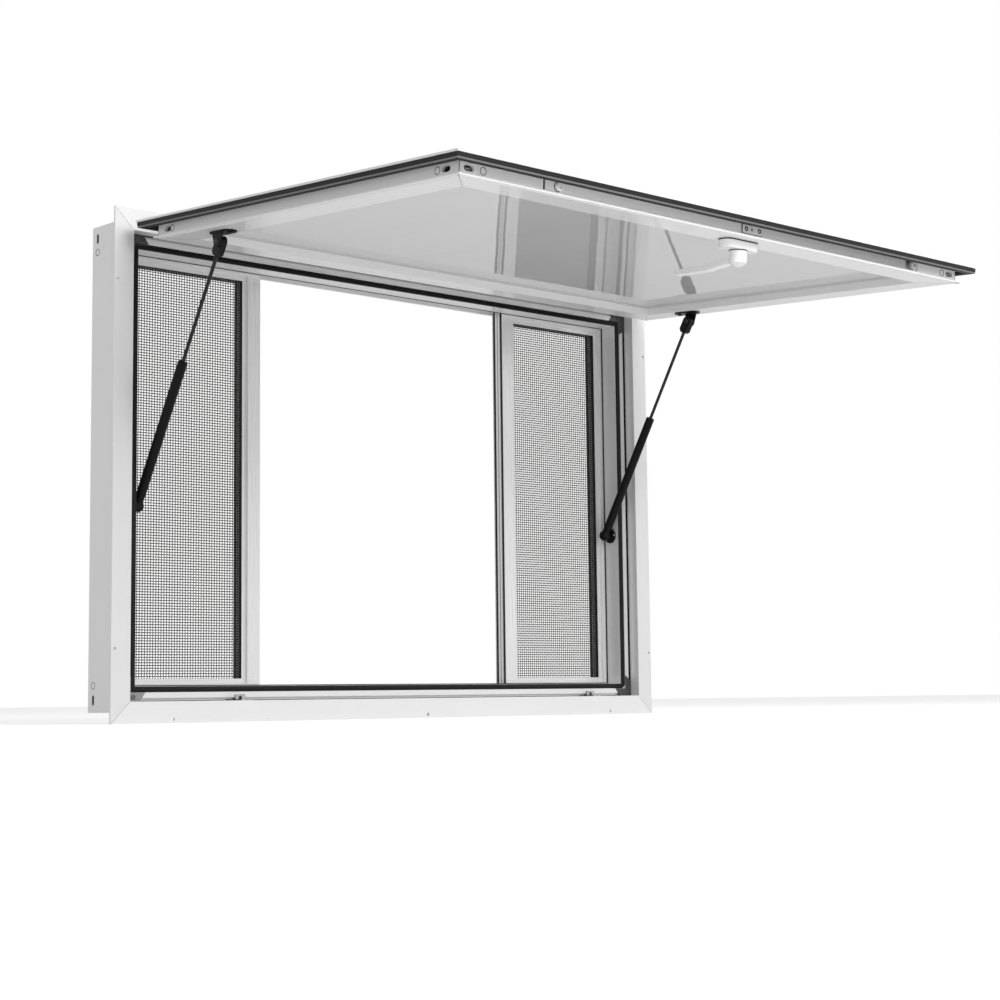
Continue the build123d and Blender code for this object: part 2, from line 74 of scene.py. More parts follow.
class Finish:
    """A procedural material: one Principled shader and the nodes that feed it."""

    def __init__(self, name, **constants):
        self.material = bpy.data.materials.new(name)
        self.material.use_nodes = True
        self.tree = self.material.node_tree
        self.shader = self.tree.nodes["Principled BSDF"]
        for key, value in constants.items():
            self.shader.inputs[key.replace("_", " ")].default_value = value
        self.place = self.node("TexCoord", output="Object")

    def node(self, kind, settings=None, values=None, output=0):
        """Adds a node: its settings first, then its values and links."""
        made = self.tree.nodes.new("ShaderNode" + kind)
        for key, value in (settings or {}).items():
            setattr(made, key, value)
        sockets = [socket for socket in made.inputs if socket.enabled]
        for key, value in (values or {}).items():
            named = [socket for socket in sockets if socket.name == key]
            self.feed(named[0] if named else sockets[key], value)
        outputs = [socket for socket in made.outputs if socket.enabled]
        named = [socket for socket in outputs if socket.name == output]
        return Signal(self, named[0] if named else outputs[output])

    def feed(self, socket, value):
        if isinstance(value, Signal):
            self.tree.links.new(value.socket, socket)
        else:
            socket.default_value = value

    def noise(self, scale, detail=2.0, stretch=(1, 1, 1)):
        """Noise from 0 to 1, of so many cells a metre, squeezed or drawn out per axis."""
        spread = self.node("VectorMath", {"operation": "MULTIPLY"}, {0: self.place, 1: stretch})
        return self.node("TexNoise", None, {"Vector": spread, "Scale": scale, "Detail": detail})

    def shades(self, factor, low, high):
        """A colour between two others, each a grey, a colour or a signal."""
        ends = [(c, c, c, 1) if isinstance(c, float) else c if isinstance(c, Signal) else (*c, 1)
                for c in (low, high)]
        return self.node("Mix", {"data_type": "RGBA"}, {"Factor": factor, "A": ends[0], "B": ends[1]})

    def above(self, axis, level):
        """1 where a coordinate passes a level, else 0."""
        return self.node("SeparateXYZ", None, {0: self.place}, axis) > level

    def set(self, **signals):
        for key, value in signals.items():
            self.feed(self.shader.inputs[key.replace("_", " ")], value)

    def relief(self, height, depth, edge=0.0):
        """Bumps of a height from 0 to 1, on edges softened by a small radius."""
        values = {"Height": height, "Distance": depth, "Strength": 1.0}
        if edge:
            values["Normal"] = self.node("Bevel", {"samples": 4}, {"Radius": edge})
        self.set(Normal=self.node("Bump", None, values))


def aluminium(name, low, high, roughness, along, edge=0.0004, cross=None, **constants):
    """Lacquered extrusion, with die lines along an axis and faint cloudy tones.

    Outside the two heights in cross, the lines lie along X.
    """
    finish = Finish(name, **{"Metallic": 0.2, **constants})
    line_scale, drawn_out = 1400, 0.008
    lines = finish.noise(line_scale, 3, [drawn_out if axis == along else 1 for axis in "xyz"])
    if cross:
        lying = 1 - finish.above("Z", cross[0]) + finish.above("Z", cross[1])
        lines = finish.noise(line_scale, 3, (drawn_out, 1, 1)) * lying + lines * (1 - lying)
    clouds, marks = finish.noise(9, 4), finish.noise(180, 5) > 0.72
    finish.set(Base_Color=finish.shades(clouds * 0.85 + lines * 0.15, low, high),
               Roughness=lines * 0.10 + marks * 0.08 + (roughness - 0.05))
    finish.relief(lines, 0.00001, edge)
    return finish


def dress(finish, *names):
    for name in names:
        frame["nodes"][name].data.materials.clear()
        frame["nodes"][name].data.materials.append(finish.material)


# The jambs are painted a darker tone than the sill and head, as painted shade on their faces.
dress(aluminium("frame_across", 0.78, 0.84, 0.30, "x"), "frame_sill", "frame_head")
dress(aluminium("frame_upright_shaded", 0.72, 0.78, 0.30, "z"), "frame_jamb_left", "frame_jamb_right")


# Mitre seams
# Where the four lengths meet, a hairline of dark sealant shows on the flange. The
# lengths are pulled together by corner cleats inside, which the slots give access to.
class Shape:
    """Points and faces of one piece, gathered part by part."""

    def __init__(self, place=Matrix()):
        self.points, self.faces, self.place = [], [], place

    def loft(self, sections, closed=False):
        """Joins sections of equally many points. An open run gets end faces."""
        start, count, rows = len(self.points), len(sections[0]), len(sections)
        self.points += [self.place @ Vector(p) for section in sections for p in section]
        for row in range(rows if closed else rows - 1):
            here, there = start + row * count, start + (row + 1) % rows * count
            for i in range(count):
                j = (i + 1) % count
                self.faces.append((here + i, here + j, there + j, there + i))
        if not closed:
            self.faces.append(tuple(range(start, start + count))[::-1])
            self.faces.append(tuple(range(start + (rows - 1) * count, start + rows * count)))
        return self

    def box(self, low, high):
        (x0, y0, z0), (x1, y1, z1) = low, high
        corners = [(x0, z0), (x1, z0), (x1, z1), (x0, z1)]
        return self.loft([[(x, y, z) for x, z in corners] for y in (y0, y1)])

    def piece(self, name, body, slot, finish, bevel=0.0, smooth=35, steps=2):
        mesh = bpy.data.meshes.new(name)
        mesh.from_pydata(self.points, [], self.faces)
        work = bmesh.new()
        work.from_mesh(mesh)
        bmesh.ops.recalc_face_normals(work, faces=work.faces)
        work.to_mesh(mesh)
        work.free()
        mesh.shade_smooth()
        mesh.set_sharp_from_angle(angle=radians(smooth))
        made = bpy.data.objects.new(name, mesh)
        bpy.context.scene.collection.objects.link(made)
        mesh.materials.append(finish.material)
        if bevel:
            soft = made.modifiers.new("soft_edges", "BEVEL")
            soft.width, soft.segments, soft.limit_method = bevel, steps, "ANGLE"
            soft.harden_normals = True
        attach(made, body)
        return made


def dull(name, low, high, roughness, scale=400, depth=0.00005, **constants):
    """A plain non-metal, mottled in tone, roughness and relief."""
    finish = Finish(name, **constants)
    grain, clouds = finish.noise(scale, 4), finish.noise(scale / 30, 3)
    finish.set(Base_Color=finish.shades(clouds * 0.5 + grain * 0.5, low, high),
               Roughness=grain * 0.2 + (roughness - 0.1))
    finish.relief(grain, depth)
    return finish


def seam(shape, start, end, normal, half=0.00016, deep=0.0005):
    """A slab as thin as a hair along a line on a face, which stands just proud of it."""
    start, end, normal = Vector(start), Vector(end), Vector(normal)
    across = (end - start).cross(normal).normalized() * half
    corners = ((-1, -deep), (1, -deep), (1, 0.00004), (-1, 0.00004))
    shape.loft([[point + across * a + normal * b for a, b in corners] for point in (start, end)])


sill_low, sill_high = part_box("frame_sill")
head_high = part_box("frame_head")[1]
flange_face = 0.027
seams = Shape()
for side, x in ((1, sill_low.x), (-1, sill_high.x)):
    for up, z in ((1, sill_low.z), (-1, head_high.z)):
        ends = [(x + side * d, sill_low.y, z + up * d) for d in (0.0002, flange_face)]
        seam(seams, *ends, (0, -1, 0))
seams.piece("frame_mitre_seams", "frame", "frame_aluminium", dull("sealant_line", 0.10, 0.16, 0.6))


# Crimps of the frame
# Beside each corner slot the extrusion is pressed into the cleat with a round punch,
# which leaves a ring in the lacquered face of the box.
def turned(place, profile, steps=24):
    """Sections of a closed profile (radius, height) turned about a place's Z axis."""
    return [[place @ Vector((r * cos(a), r * sin(a), h)) for r, h in profile]
            for a in (2 * pi * i / steps for i in range(steps))]


def facing(point, direction):
    """A place whose Z axis looks along a direction."""
    return Matrix.Translation(point) @ Vector(direction).to_track_quat("Z", "Y").to_matrix().to_4x4()


crimp_radius, crimp_line = 0.0041, 0.0007
crimp_ring = [(crimp_radius - crimp_line, -0.0003), (crimp_radius - crimp_line / 2, 0.00012),
              (crimp_radius + crimp_line / 2, 0.00012), (crimp_radius + crimp_line, -0.0003)]
box_side, slot_y = 0.456, 0.060
slot_heights, crimp_heights = (0.022, 0.598), (0.0398, 0.5806)
rings = Shape()
for side in (-1, 1):
    for z in crimp_heights:
        rings.loft(turned(facing((side * box_side, slot_y, z), (side, 0, 0)), crimp_ring), True)
# The rings are painted near-black, as painted shade in the punched dimples.
painted_shade_dark = dull("crimp_shadow", 0.05, 0.12, 0.45, Metallic=0.4)
rings.piece("frame_crimps", "frame", "frame_aluminium", painted_shade_dark)


# Middle screw of the sill
# One countersunk screw near the middle of the sill's flange, between its two open
# holes. Its head is flush with the face, and its socket is sunk. The head is painted
# near-black, as the painted shade of a hole.
def domed(place, profile, steps=20):
    """Sections of a head, whose rings (radius, height) rise from its foot to its top."""
    return [[place @ Vector((r * cos(a), r * sin(a), h)) for a in (2 * pi * i / steps for i in range(steps))]
            for r, h in profile]


middle_x, screw_z, hole_radius = 0.0282, -0.002, 0.0021
sunk_head = [(hole_radius, -0.0004), (hole_radius, 0.00006), (0.0011, 0.00006), (0.0010, -0.0003)]
middle_screw = Shape().loft(domed(facing((middle_x, sill_low.y, screw_z), (0, -1, 0)), sunk_head, 18))
middle_screw.piece("sill_middle_screw", "frame", "plated_steel", painted_shade_dark)


# Cleats of the frame
# Cast corner angles inside the hollow of the box, painted near-black as the shade
# inside the hollow, whose lugs stand in the corner slots.
cleat_x, cleat_half, cleat_reach, cleat_thick = 0.4554, 0.0024, 0.0062, 0.0054
frame_cleats = Shape()
for side in (-1, 1):
    for z in slot_heights:
        a, b = sorted((side * cleat_x, side * (cleat_x - cleat_thick)))
        frame_cleats.box((a, slot_y - cleat_half, z - cleat_reach), (b, slot_y + cleat_half, z + cleat_reach))
frame_cleats.piece("frame_cleats", "frame", "plated_steel", dull("cleat_painted_shade", 0.006, 0.016, 0.5))


# Opening gasket
# Black rubber bulb, pushed into the seat round the opening. It is bent round the lower
# right corner and mitred at the others, and dust dulls and mottles it.
def round_ring(profile, x0, x1, z0, z1, radii=(0, 0, 0, 0), steps=4):
    """Sections of a profile (distance in, y) carried round a rectangle."""
    sections = []
    corners = [(x0, z0, 1, 1), (x1, z0, -1, 1), (x1, z1, -1, -1), (x0, z1, 1, -1)]
    for number, (x, z, right, up) in enumerate(corners):
        radius = radii[number]
        if not radius:
            sections.append([(x + right * u, y, z + up * u) for u, y in profile])
            continue
        for step in range(steps + 1):
            a = pi + pi / 2 * (number + step / steps)
            sections.append([(x + right * radius + (radius - u) * cos(a), y,
                              z + up * radius + (radius - u) * sin(a)) for u, y in profile])
    return sections


def rubber(name, low=0.003, high=0.007, roughness=0.45, shine=0.18):
    return dull(name, low, high, roughness, 700, 0.00004, Specular_IOR_Level=shine)


low_seat, high_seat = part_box("gasket_sill")[0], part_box("gasket_head")[1]
seat_y, tip_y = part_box("gasket_sill")[1].y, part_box("gasket_sill")[0].y
bulb_width, bulb_height, bulb_inset, corner_bend = 0.0075, 0.0016, 0.0004, 0.0078
bulb = [(bulb_inset, seat_y), (bulb_inset, tip_y + bulb_height)]
bulb += [(bulb_width / 2 - (bulb_width / 2 - 0.0002) * cos(a), tip_y + bulb_height * (1 - sin(a)))
         for a in (pi * i / 10 for i in range(1, 10))]
bulb += [(bulb_width - bulb_inset, tip_y + bulb_height), (bulb_width - bulb_inset, seat_y)]
gasket = Shape().loft(round_ring(bulb, low_seat.x, high_seat.x, low_seat.z, high_seat.z,
                                 (0, corner_bend, 0, 0)), True)
gasket = gasket.piece("opening_gasket", "frame", "seal_rubber", rubber("gasket_rubber"))
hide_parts("gasket_sill", "gasket_head", "gasket_jamb_left", "gasket_jamb_right")


# Groove strip
# A flat black strip in the groove between the step and the side of the rebate,
# painted near-black as the shade in the groove.
groove_y, strip_deep, strip_wide, strip_sunk = 0.0176, 0.0034, 0.0008, 0.0003
strip = [(-strip_sunk, groove_y - strip_deep), (strip_wide, groove_y - strip_deep),
         (strip_wide, groove_y), (-strip_sunk, groove_y)]
groove = Shape().loft(round_ring(strip, sill_low.x + flange_face, sill_high.x - flange_face,
                                 sill_low.z + flange_face, head_high.z - flange_face), True)
groove.piece("groove_shade_strip", "frame", "seal_rubber", rubber("groove_shade_black", 0.006, 0.014, 0.5))


# Pile seals
# Black brush pile in a carrier at the back edge of the frame's nose, where the front
# screens run behind it, and in the finger channels of the screens' pull stiles.
pile = dull("brush_pile", 0.020, 0.050, 0.8, 1600, 0.00008, Specular_IOR_Level=0.1)
screen_names = [f"screen_{side}_{row}" for side in ("left", "right") for row in ("front", "rear")]
nose_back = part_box("screen_left_front_frame")[0].y - 0.0003
brush_proud, brush_deep, brush_sunk = 0.0015, 0.0003, 0.0008
brush = [(-brush_deep, nose_back - 0.0011), (brush_proud, nose_back - 0.0011),
         (brush_proud, nose_back - 0.0001), (-brush_deep, nose_back - 0.0001)]
piles = Shape().loft(round_ring(brush, low_seat.x + bulb_width, high_seat.x - bulb_width,
                                low_seat.z + bulb_width, high_seat.z - bulb_width + brush_sunk), True)
channel_wall, channel_width, channel_deep, brush_back = 0.0011, 0.0053, 0.0078, 0.0013
for name in screen_names:
    low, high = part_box(name + "_frame")
    near = low.y + channel_wall if "front" in name else high.y - channel_wall - channel_width
    edge, inward = (low.x, 1) if "right" in name else (high.x, -1)
    start, end = sorted((edge + inward * brush_back, edge + inward * channel_deep))
    piles.box((start, near + 0.0001, low.z + 0.0005),
              (end, near + channel_width - 0.0001, high.z - 0.0005))
piles.piece("pile_seals", "frame", "seal_rubber", pile)


# Corner keys
# Zinc-plated angle plates let into the rebate, each held by one hollow rivet, which
# stands as a small ring on the plate. The plates are painted dark as painted reflections
# of the shade around them, and the lower left one lighter as a painted reflection of
# the bright floor. The rivet rings are painted near-black, as painted shade.
def plated(name, low, high, roughness):
    """Plated or bright steel: blotchy passivation over fine scratches."""
    finish = Finish(name, Metallic=1.0)
    blotches, scratches = finish.noise(160, 4), finish.noise(1500, 2, (0.05, 1, 1))
    finish.set(Base_Color=finish.shades(blotches, low, high),
               Roughness=blotches * 0.16 + scratches * 0.1 + (roughness - 0.12))
    finish.relief(scratches, 0.00002, 0.0003)
    return finish


zinc = Finish("zinc_light_and_shade", Metallic=0.6)
bloom, lit_lower_left = zinc.noise(220, 4), (1 - zinc.above("X", 0.0)) * (1 - zinc.above("Z", 0.3))
zinc.set(Base_Color=zinc.shades(lit_lower_left, zinc.shades(bloom, 0.05, 0.10), zinc.shades(bloom, 0.22, 0.34)),
         Roughness=bloom * 0.16 + 0.34)
zinc.relief(bloom, 0.00003, 0.0003)
dress(zinc, "corner_keys")
key_low, key_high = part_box("corner_keys")
rivet_inset, rivet_up = 0.0145, 0.0052
rivet_ring = [(0.0014, 0), (0.0014, 0.0006), (0.0021, 0.0009), (0.0030, 0.0006), (0.0030, 0)]
rivets = Shape()
for x in (key_low.x + rivet_inset, key_high.x - rivet_inset):
    for z in (key_low.z + rivet_up, key_high.z - rivet_up):
        rivets.loft(turned(facing((x, key_low.y, z), (0, -1, 0)), rivet_ring), True)
rivets.piece("corner_key_rivets", "frame", "plated_steel", painted_shade_dark)


# Latch keepers
# Small plated brackets screwed in the sill's rebate, which the two bolts of the hatch
# slide behind. A black socket screw holds each one to the step.
keeper_low, keeper_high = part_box("latch_keepers")
keeper = Finish("keeper_zinc_and_shade", Metallic=0.5)
keeper_run, left_upright, right_upright = 0.0150, keeper_low.x + 0.0215, keeper_high.x - 0.0075
foot_thick = 0.0017
# The foot beside the uprights is painted near-black, as painted shade.
bloom, foot = keeper.noise(300, 4), 1 - keeper.above("Z", keeper_low.z + foot_thick)
beside = (1 - keeper.above("X", left_upright - keeper_run / 2)
          + keeper.above("X", 0.0) * (1 - keeper.above("X", right_upright - keeper_run / 2)))
keeper.set(Base_Color=keeper.shades(foot * beside, keeper.shades(bloom, 0.40, 0.52), 0.01),
           Roughness=bloom * 0.2 + 0.36)
keeper.relief(bloom, 0.00003, 0.0002)
dress(keeper, "latch_keepers")
screw_radius, screw_sunk, screw_up = 0.0023, 0.0015, 0.0035
socket_head = [(screw_radius, -0.0006), (screw_radius, 0.0006), (screw_radius - 0.0003, 0.0009),
               (0.0010, 0.0009), (0.0009, 0.0001)]
# A thin black rim round each upright is painted shadow of the gap behind it.
rim_front, rim_back, rim_up = keeper_high.y - 0.0012, keeper_high.y - 0.0004, 0.0008
keeper_shadow_rim = [(-0.0003, rim_front), (0.0001, rim_front), (0.0001, rim_back), (-0.0003, rim_back)]
screws = Shape()
for x in (left_upright, right_upright):
    place = facing((x, keeper_high.y - screw_sunk, keeper_low.z + screw_up), (0, -1, 0))
    screws.loft(domed(place, socket_head, 16))
    screws.loft(round_ring(keeper_shadow_rim, x - keeper_run / 2, x + keeper_run / 2, keeper_low.z + rim_up,
                           keeper_high.z), True)
screws.piece("keeper_screws", "frame", "plated_steel", dull("black_screw_and_shadow", 0.006, 0.016, 0.5))


# Screen frames
# Light aluminium extrusions of the four sliding screens, mitred and keyed at the
# corners, with a bead snapped in along the opening. Each one slides in the tracks.
cloth_low, cloth_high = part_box("screen_left_front_mesh")
dress(aluminium("screen_metal", 0.75, 0.81, 0.28, "z", cross=(cloth_low.z, cloth_high.z)),
      *[name + "_frame" for name in screen_names])


# Screen splines
# A black vinyl cord and liner that clamp the cloth into the groove behind the bead.
# It lines the whole inside edge of each opening, and there its black is painted shade
# of the reveals.
spline_and_shade_black = rubber("spline_vinyl_and_shade", 0.006, 0.016, 0.5)
spline_width = 0.0003
for name in screen_names:
    low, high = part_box(name + "_mesh")
    front_y, back_y = low.y - 0.0023, low.y + 0.0034
    profile = [(-0.0002, front_y), (spline_width, front_y), (spline_width, back_y), (-0.0002, back_y)]
    spline = Shape().loft(round_ring(profile, low.x, high.x, low.z, high.z), True)
    spline.piece(name + "_spline", "frame", "seal_rubber", spline_and_shade_black)


# Screen cloth
# Plain-woven glass-fibre yarn with a dark vinyl coat. Each yarn passes over one and
# under the next, so the wires are modelled as zigzags that cross in turn.
cloth_radius, across_pitch, up_pitch = 0.00056, 0.0040, 0.0034
eye_x, eye_y, eye_z = -1.7997, -2.1533, 0.0163
rear_stretch = 1.005396  # how much further the rear cloth is from the eye than the front one
cloth = dull("cloth_vinyl", 0.020, 0.045, 0.5, 900, 0.00003, Specular_IOR_Level=0.3)


def yarn(shape, points, across):
    """A four-sided wire through points, with its sides set off to the front and across."""
    sections = []
    for p in points:
        p = Vector(p)
        sections.append([p + Vector((0, -cloth_radius, 0)), p + across * cloth_radius,
                         p + Vector((0, cloth_radius, 0)), p - across * cloth_radius])
    shape.loft(sections)


def lattice(start, pitch, low, high):
    """Places of the wires between two edges, counted from a start."""
    first = int((low - start) / pitch) - 2
    places = [start + pitch * (first + i) for i in range(int((high - low) / pitch) + 6)]
    return [p for p in places if low + 0.0006 < p < high - 0.0006]


for name in screen_names:
    low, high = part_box(name + "_mesh")
    middle = (low.y + high.y) / 2
    stretch = rear_stretch if "rear" in name else 1.0
    columns = lattice(eye_x - eye_x * stretch, across_pitch * stretch, low.x, high.x)
    rows = lattice(eye_z - eye_z * stretch, up_pitch * stretch, low.z, high.z)
    weave = Shape()
    for i, x in enumerate(columns):
        points = [(x, middle, low.z)]
        points += [(x, middle + cloth_radius * (1 if (i + j) % 2 else -1), z) for j, z in enumerate(rows)]
        yarn(weave, points + [(x, middle, high.z)], Vector((1, 0, 0)))
    for j, z in enumerate(rows):
        points = [(low.x, middle, z)]
        points += [(x, middle - cloth_radius * (1 if (i + j) % 2 else -1), z) for i, x in enumerate(columns)]
        yarn(weave, points + [(high.x, middle, z)], Vector((0, 0, 1)))
    woven = weave.piece(name + "_cloth", "frame", "insect_mesh", cloth, smooth=60)
    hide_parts(name + "_mesh")


# Hinge
# A continuous hinge of two aluminium leaves on a steel pin. The upper leaf is riveted
# to the outside of the hatch, and the other one is screwed to the head's flange.
dress(aluminium("hinge_metal", 0.68, 0.74, 0.32, "x"), "hinge_frame_leaf", "hinge_hatch_leaf")
dress(plated("hinge_pin_steel", 0.5, 0.62, 0.3), "hinge_pin")
hinge = next(joint for joint in frame["joints"] if joint["name"] == "hatch_hinge")
pivot = Vector(hinge["pos_m"])
swing = (Matrix.Translation(pivot) @ Matrix.Rotation(-radians(hinge["range_deg"][1]), 4, "X")
         @ Matrix.Translation(-pivot))


def shut_box(name):
    """Corners of a hatch piece with the hatch swung shut."""
    shut = swing.inverted()
    points = [shut @ vertex.co for vertex in frame["nodes"][name].data.vertices]
    return [Vector([limit(p[i] for p in points) for i in range(3)]) for limit in (min, max)]


leaf_low, leaf_high = shut_box("hinge_hatch_leaf")
rivet_head = [(0.0042, 0), (0.0042, 0.0006), (0.0034, 0.0014), (0.0020, 0.0019), (0.0006, 0.0021)]
rivet_count, rivet_margin, rivet_row = 9, 0.030, 0.008
hinge_rivets = Shape(swing)
for i in range(rivet_count):
    x = leaf_low.x + rivet_margin + (leaf_high.x - leaf_low.x - 2 * rivet_margin) * i / (rivet_count - 1)
    hinge_rivets.loft(domed(facing((x, leaf_low.y, leaf_low.z + rivet_row), (0, -1, 0)), rivet_head))
hinge_rivets.piece("hinge_rivets", "hatch", "hinge_aluminium", plated("rivet_metal", 0.55, 0.66, 0.3))


# Hatch skin
# The outer sheet of the awning hatch, folded aluminium with a white baked enamel,
# slightly orange-peeled, with faint rain streaks down the outside.
enamel = Finish("white_enamel", Coat_Roughness=0.12)
peel, dirt = enamel.noise(650, 2), enamel.noise(14, 5, (1, 0.2, 1))
enamel.set(Base_Color=enamel.shades(dirt, (0.74, 0.745, 0.75), (0.83, 0.83, 0.825)),
           Roughness=dirt * 0.14 + 0.24, Coat_Weight=peel * 0.3 + 0.2)
enamel.relief(peel, 0.00003, 0.0006)
dress(enamel, "hatch_skin")


# Hatch seal
# A black rubber bulb seal stuck round the inside edge of the skin, with a grey bead on
# its outer corner, painted lighter than the rubber as the light it catches from below.
# It presses on the flange when the hatch is shut.
seal_low, seal_high = shut_box("hatch_seal")
seal_width, bead_radius = 0.011, 0.0012
foot_y, tip = seal_low.y, seal_high.y
shoulder = foot_y + 0.0044
seal_outline = [(0, foot_y), (0, shoulder), (0.0008, shoulder + 0.0003), (0.0022, shoulder + 0.0006),
                (0.0024, tip - 0.0004), (0.0034, tip), (0.0078, tip), (0.0098, tip - 0.0012),
                (seal_width, tip - 0.0036), (seal_width, foot_y)]
around = [seal_low.x, seal_high.x, seal_low.z, seal_high.z]
seal = Shape(swing).loft(round_ring(seal_outline, *around), True)
seal = seal.piece("hatch_bulb_seal", "hatch", "seal_rubber", rubber("seal_epdm", 0.008, 0.016, 0.5, 0.2))
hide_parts("hatch_seal")
bead_outline = [(0.0013 - bead_radius * cos(a), shoulder + 0.0013 + bead_radius * sin(a))
                for a in (2 * pi * i / 12 for i in range(12))]
bead = Shape(swing).loft(round_ring(bead_outline, *around), True)
bead.piece("hatch_seal_bead", "hatch", "seal_rubber", dull("seal_bead_painted_light", 0.13, 0.19, 0.6))


# Hatch rails
# Clear-lacquered bright aluminium extrusions that stiffen the hatch, mitred at the
# corners and crimped to cleats through slots. A lip runs along their outer edge.
lacquer = {"Metallic": 0.05, "Coat_Weight": 0.5, "Coat_Roughness": 0.05}
# The side rails are painted a darker tone than the front and hinge rails, as painted shade.
dress(aluminium("rail_across", 0.87, 0.93, 0.36, "x", 0.0, **lacquer), "hatch_rail_front", "hatch_rail_hinge")
dress(aluminium("rail_along_shaded", 0.82, 0.88, 0.36, "y", 0.0, **lacquer), "hatch_rail_left", "hatch_rail_right")
rail_low, rail_high = shut_box("hatch_rail_front")
lip_edge = -shut_box("hatch_rail_left")[0].x
lip_reach, slot_rise, hinge_face_z = 0.0044, 0.010, 0.5901
front_z, rail_y = rail_low.z + lip_reach, rail_low.y + slot_rise
left_x, right_x = lip_reach - lip_edge, lip_edge - lip_reach
front_crimps, side_crimps = (-0.4000, 0.4038), (0.0645, 0.5600)
rail_rings = Shape(swing)
for x in front_crimps:
    rail_rings.loft(turned(facing((x, rail_y, front_z), (0, 0, -1)), crimp_ring), True)
for side, x in ((-1, left_x), (1, right_x)):
    for z in side_crimps:
        rail_rings.loft(turned(facing((x, rail_y, z), (side, 0, 0)), crimp_ring), True)
# The crimp rings are painted near-black, as painted shade.
rail_rings.piece("rail_crimps", "hatch", "rail_aluminium", painted_shade_dark)
rail_width, rail_top = 0.0375, rail_high.y
rail_seams = Shape(swing)
for side in (-1, 1):
    for up, z in ((1, rail_low.z), (-1, hinge_face_z + lip_reach)):
        face_x, face_z = side * right_x, z + up * lip_reach
        seam(rail_seams, (side * lip_edge, rail_top, z),
             (side * (right_x - rail_width), rail_top, face_z + up * rail_width), (0, 1, 0), 0.00022)
        seam(rail_seams, (face_x, rail_low.y + 0.0002, face_z), (face_x, rail_top - 0.0028, face_z),
             Vector((side, 0, -up)).normalized(), 0.0004)
rail_seams.piece("rail_mitre_seams", "hatch", "rail_aluminium", dull("open_mitre", 0.02, 0.05, 0.6))


# Corner cleats
# Cast aluminium angles inside the rails, pressed into both lengths of a corner. Their
# ends show through the corner slots.
slot_inset, lug_deep, lug_thick, lug_reach, lug_half = 0.0135, 0.0022, 0.0040, 0.0034, 0.0011
cleats = Shape(swing)
for x in (left_x + slot_inset, right_x - slot_inset):
    cleats.box((x - lug_reach, rail_y - lug_half, front_z + lug_deep),
               (x + lug_reach, rail_y + lug_half, front_z + lug_deep + lug_thick))
for side, x in ((1, left_x), (-1, right_x)):
    for z in (front_z + slot_inset, hinge_face_z - slot_inset):
        near, far = sorted((x + side * lug_deep, x + side * (lug_deep + lug_thick)))
        cleats.box((near, rail_y - lug_half, z - lug_reach), (far, rail_y + lug_half, z + lug_reach))
cleats.piece("rail_cleats", "hatch", "plated_steel", plated("cleat_casting", 0.30, 0.55, 0.45), 0.0004)


# Hatch panel
# The inner face of the insulated panel, a glossy white sheet held by a slim bead. It
# mirrors the screens at a low angle and carries faint waves and wiping marks.
panel = Finish("gloss_panel", IOR=1.46, Coat_Roughness=0.01)
waves, wipes = panel.noise(5, 2, (1, 0.6, 1)), panel.noise(60, 5, (0.15, 1, 1))
panel.set(Base_Color=panel.shades(waves, 0.62, 0.68), Roughness=wipes * 0.02 + 0.004,
          Coat_Weight=wipes * 0.15 + 0.1)
panel.relief(waves, 0.0010)
dress(panel, "hatch_core")


# Latch bar
# A steel bar sliding in the front rail, with a socket-head bolt near each end and a
# small plate in the middle that the handle's spindle drives.
bar_low, bar_high = shut_box("latch_bar")
plate_low, plate_high = shut_box("latch_drive_plate")
bar_y, bar_face = (plate_low.y + plate_high.y) / 2, plate_high.z
satin = Finish("satin_steel", Metallic=0.1)
wear, grain = satin.noise(30, 4), satin.noise(900, 2, (0.02, 1, 1))
# The bar is painted darker toward its right end, as painted shade.
shade_along_bar = satin.node("SeparateXYZ", None, {0: satin.place}, "X") * (1 / (bar_high.x - bar_low.x)) + 0.47
satin.set(Base_Color=satin.shades(shade_along_bar + wear * 0.12, 0.94, 0.58), Roughness=grain * 0.14 + 0.36)
satin.relief(grain, 0.00002, 0.0002)
dress(satin, "latch_bar", "latch_drive_plate")
left_bolt = -0.2925
washer = [(0.0042, 0), (0.0042, 0.0005), (0.0046, 0.0007), (0.0052, 0.0007), (0.0054, 0.0004), (0.0054, 0)]
washers = Shape(swing).loft(turned(facing((left_bolt, bar_y, bar_face), (0, 0, -1)), washer), True)
washers.piece("bolt_washer", "latch", "stainless_steel", plated("washer_steel", 0.10, 0.18, 0.35))
drive_screws = Shape(swing)
screw_ring = [(0.0015, -0.0002), (0.0015, 0.0004), (0.0028, 0.0004), (0.0028, -0.0002)]
spindle_ring = [(0.0012, -0.0002), (0.0012, 0.0003), (0.0018, 0.0003), (0.0018, -0.0002)]
left_screw, spindle_x, right_screw = plate_low.x + 0.0065, 0.0251, plate_high.x - 0.0051
for x, ring in ((left_screw, screw_ring), (spindle_x, spindle_ring), (right_screw, screw_ring)):
    drive_screws.loft(turned(facing((x, bar_y, plate_low.z), (0, 0, -1)), ring, 16), True)
plate_gap, plate_proud = 0.0006, 0.0003
drive_screws.box((plate_low.x - plate_gap, plate_low.y - plate_gap, plate_low.z + plate_proud),
                 (plate_high.x + plate_gap, plate_high.y + plate_gap, plate_high.z))
drive_screws.piece("drive_screws", "latch", "plated_steel",
                   dull("drive_black", 0.010, 0.03, 0.4, Metallic=0.3))
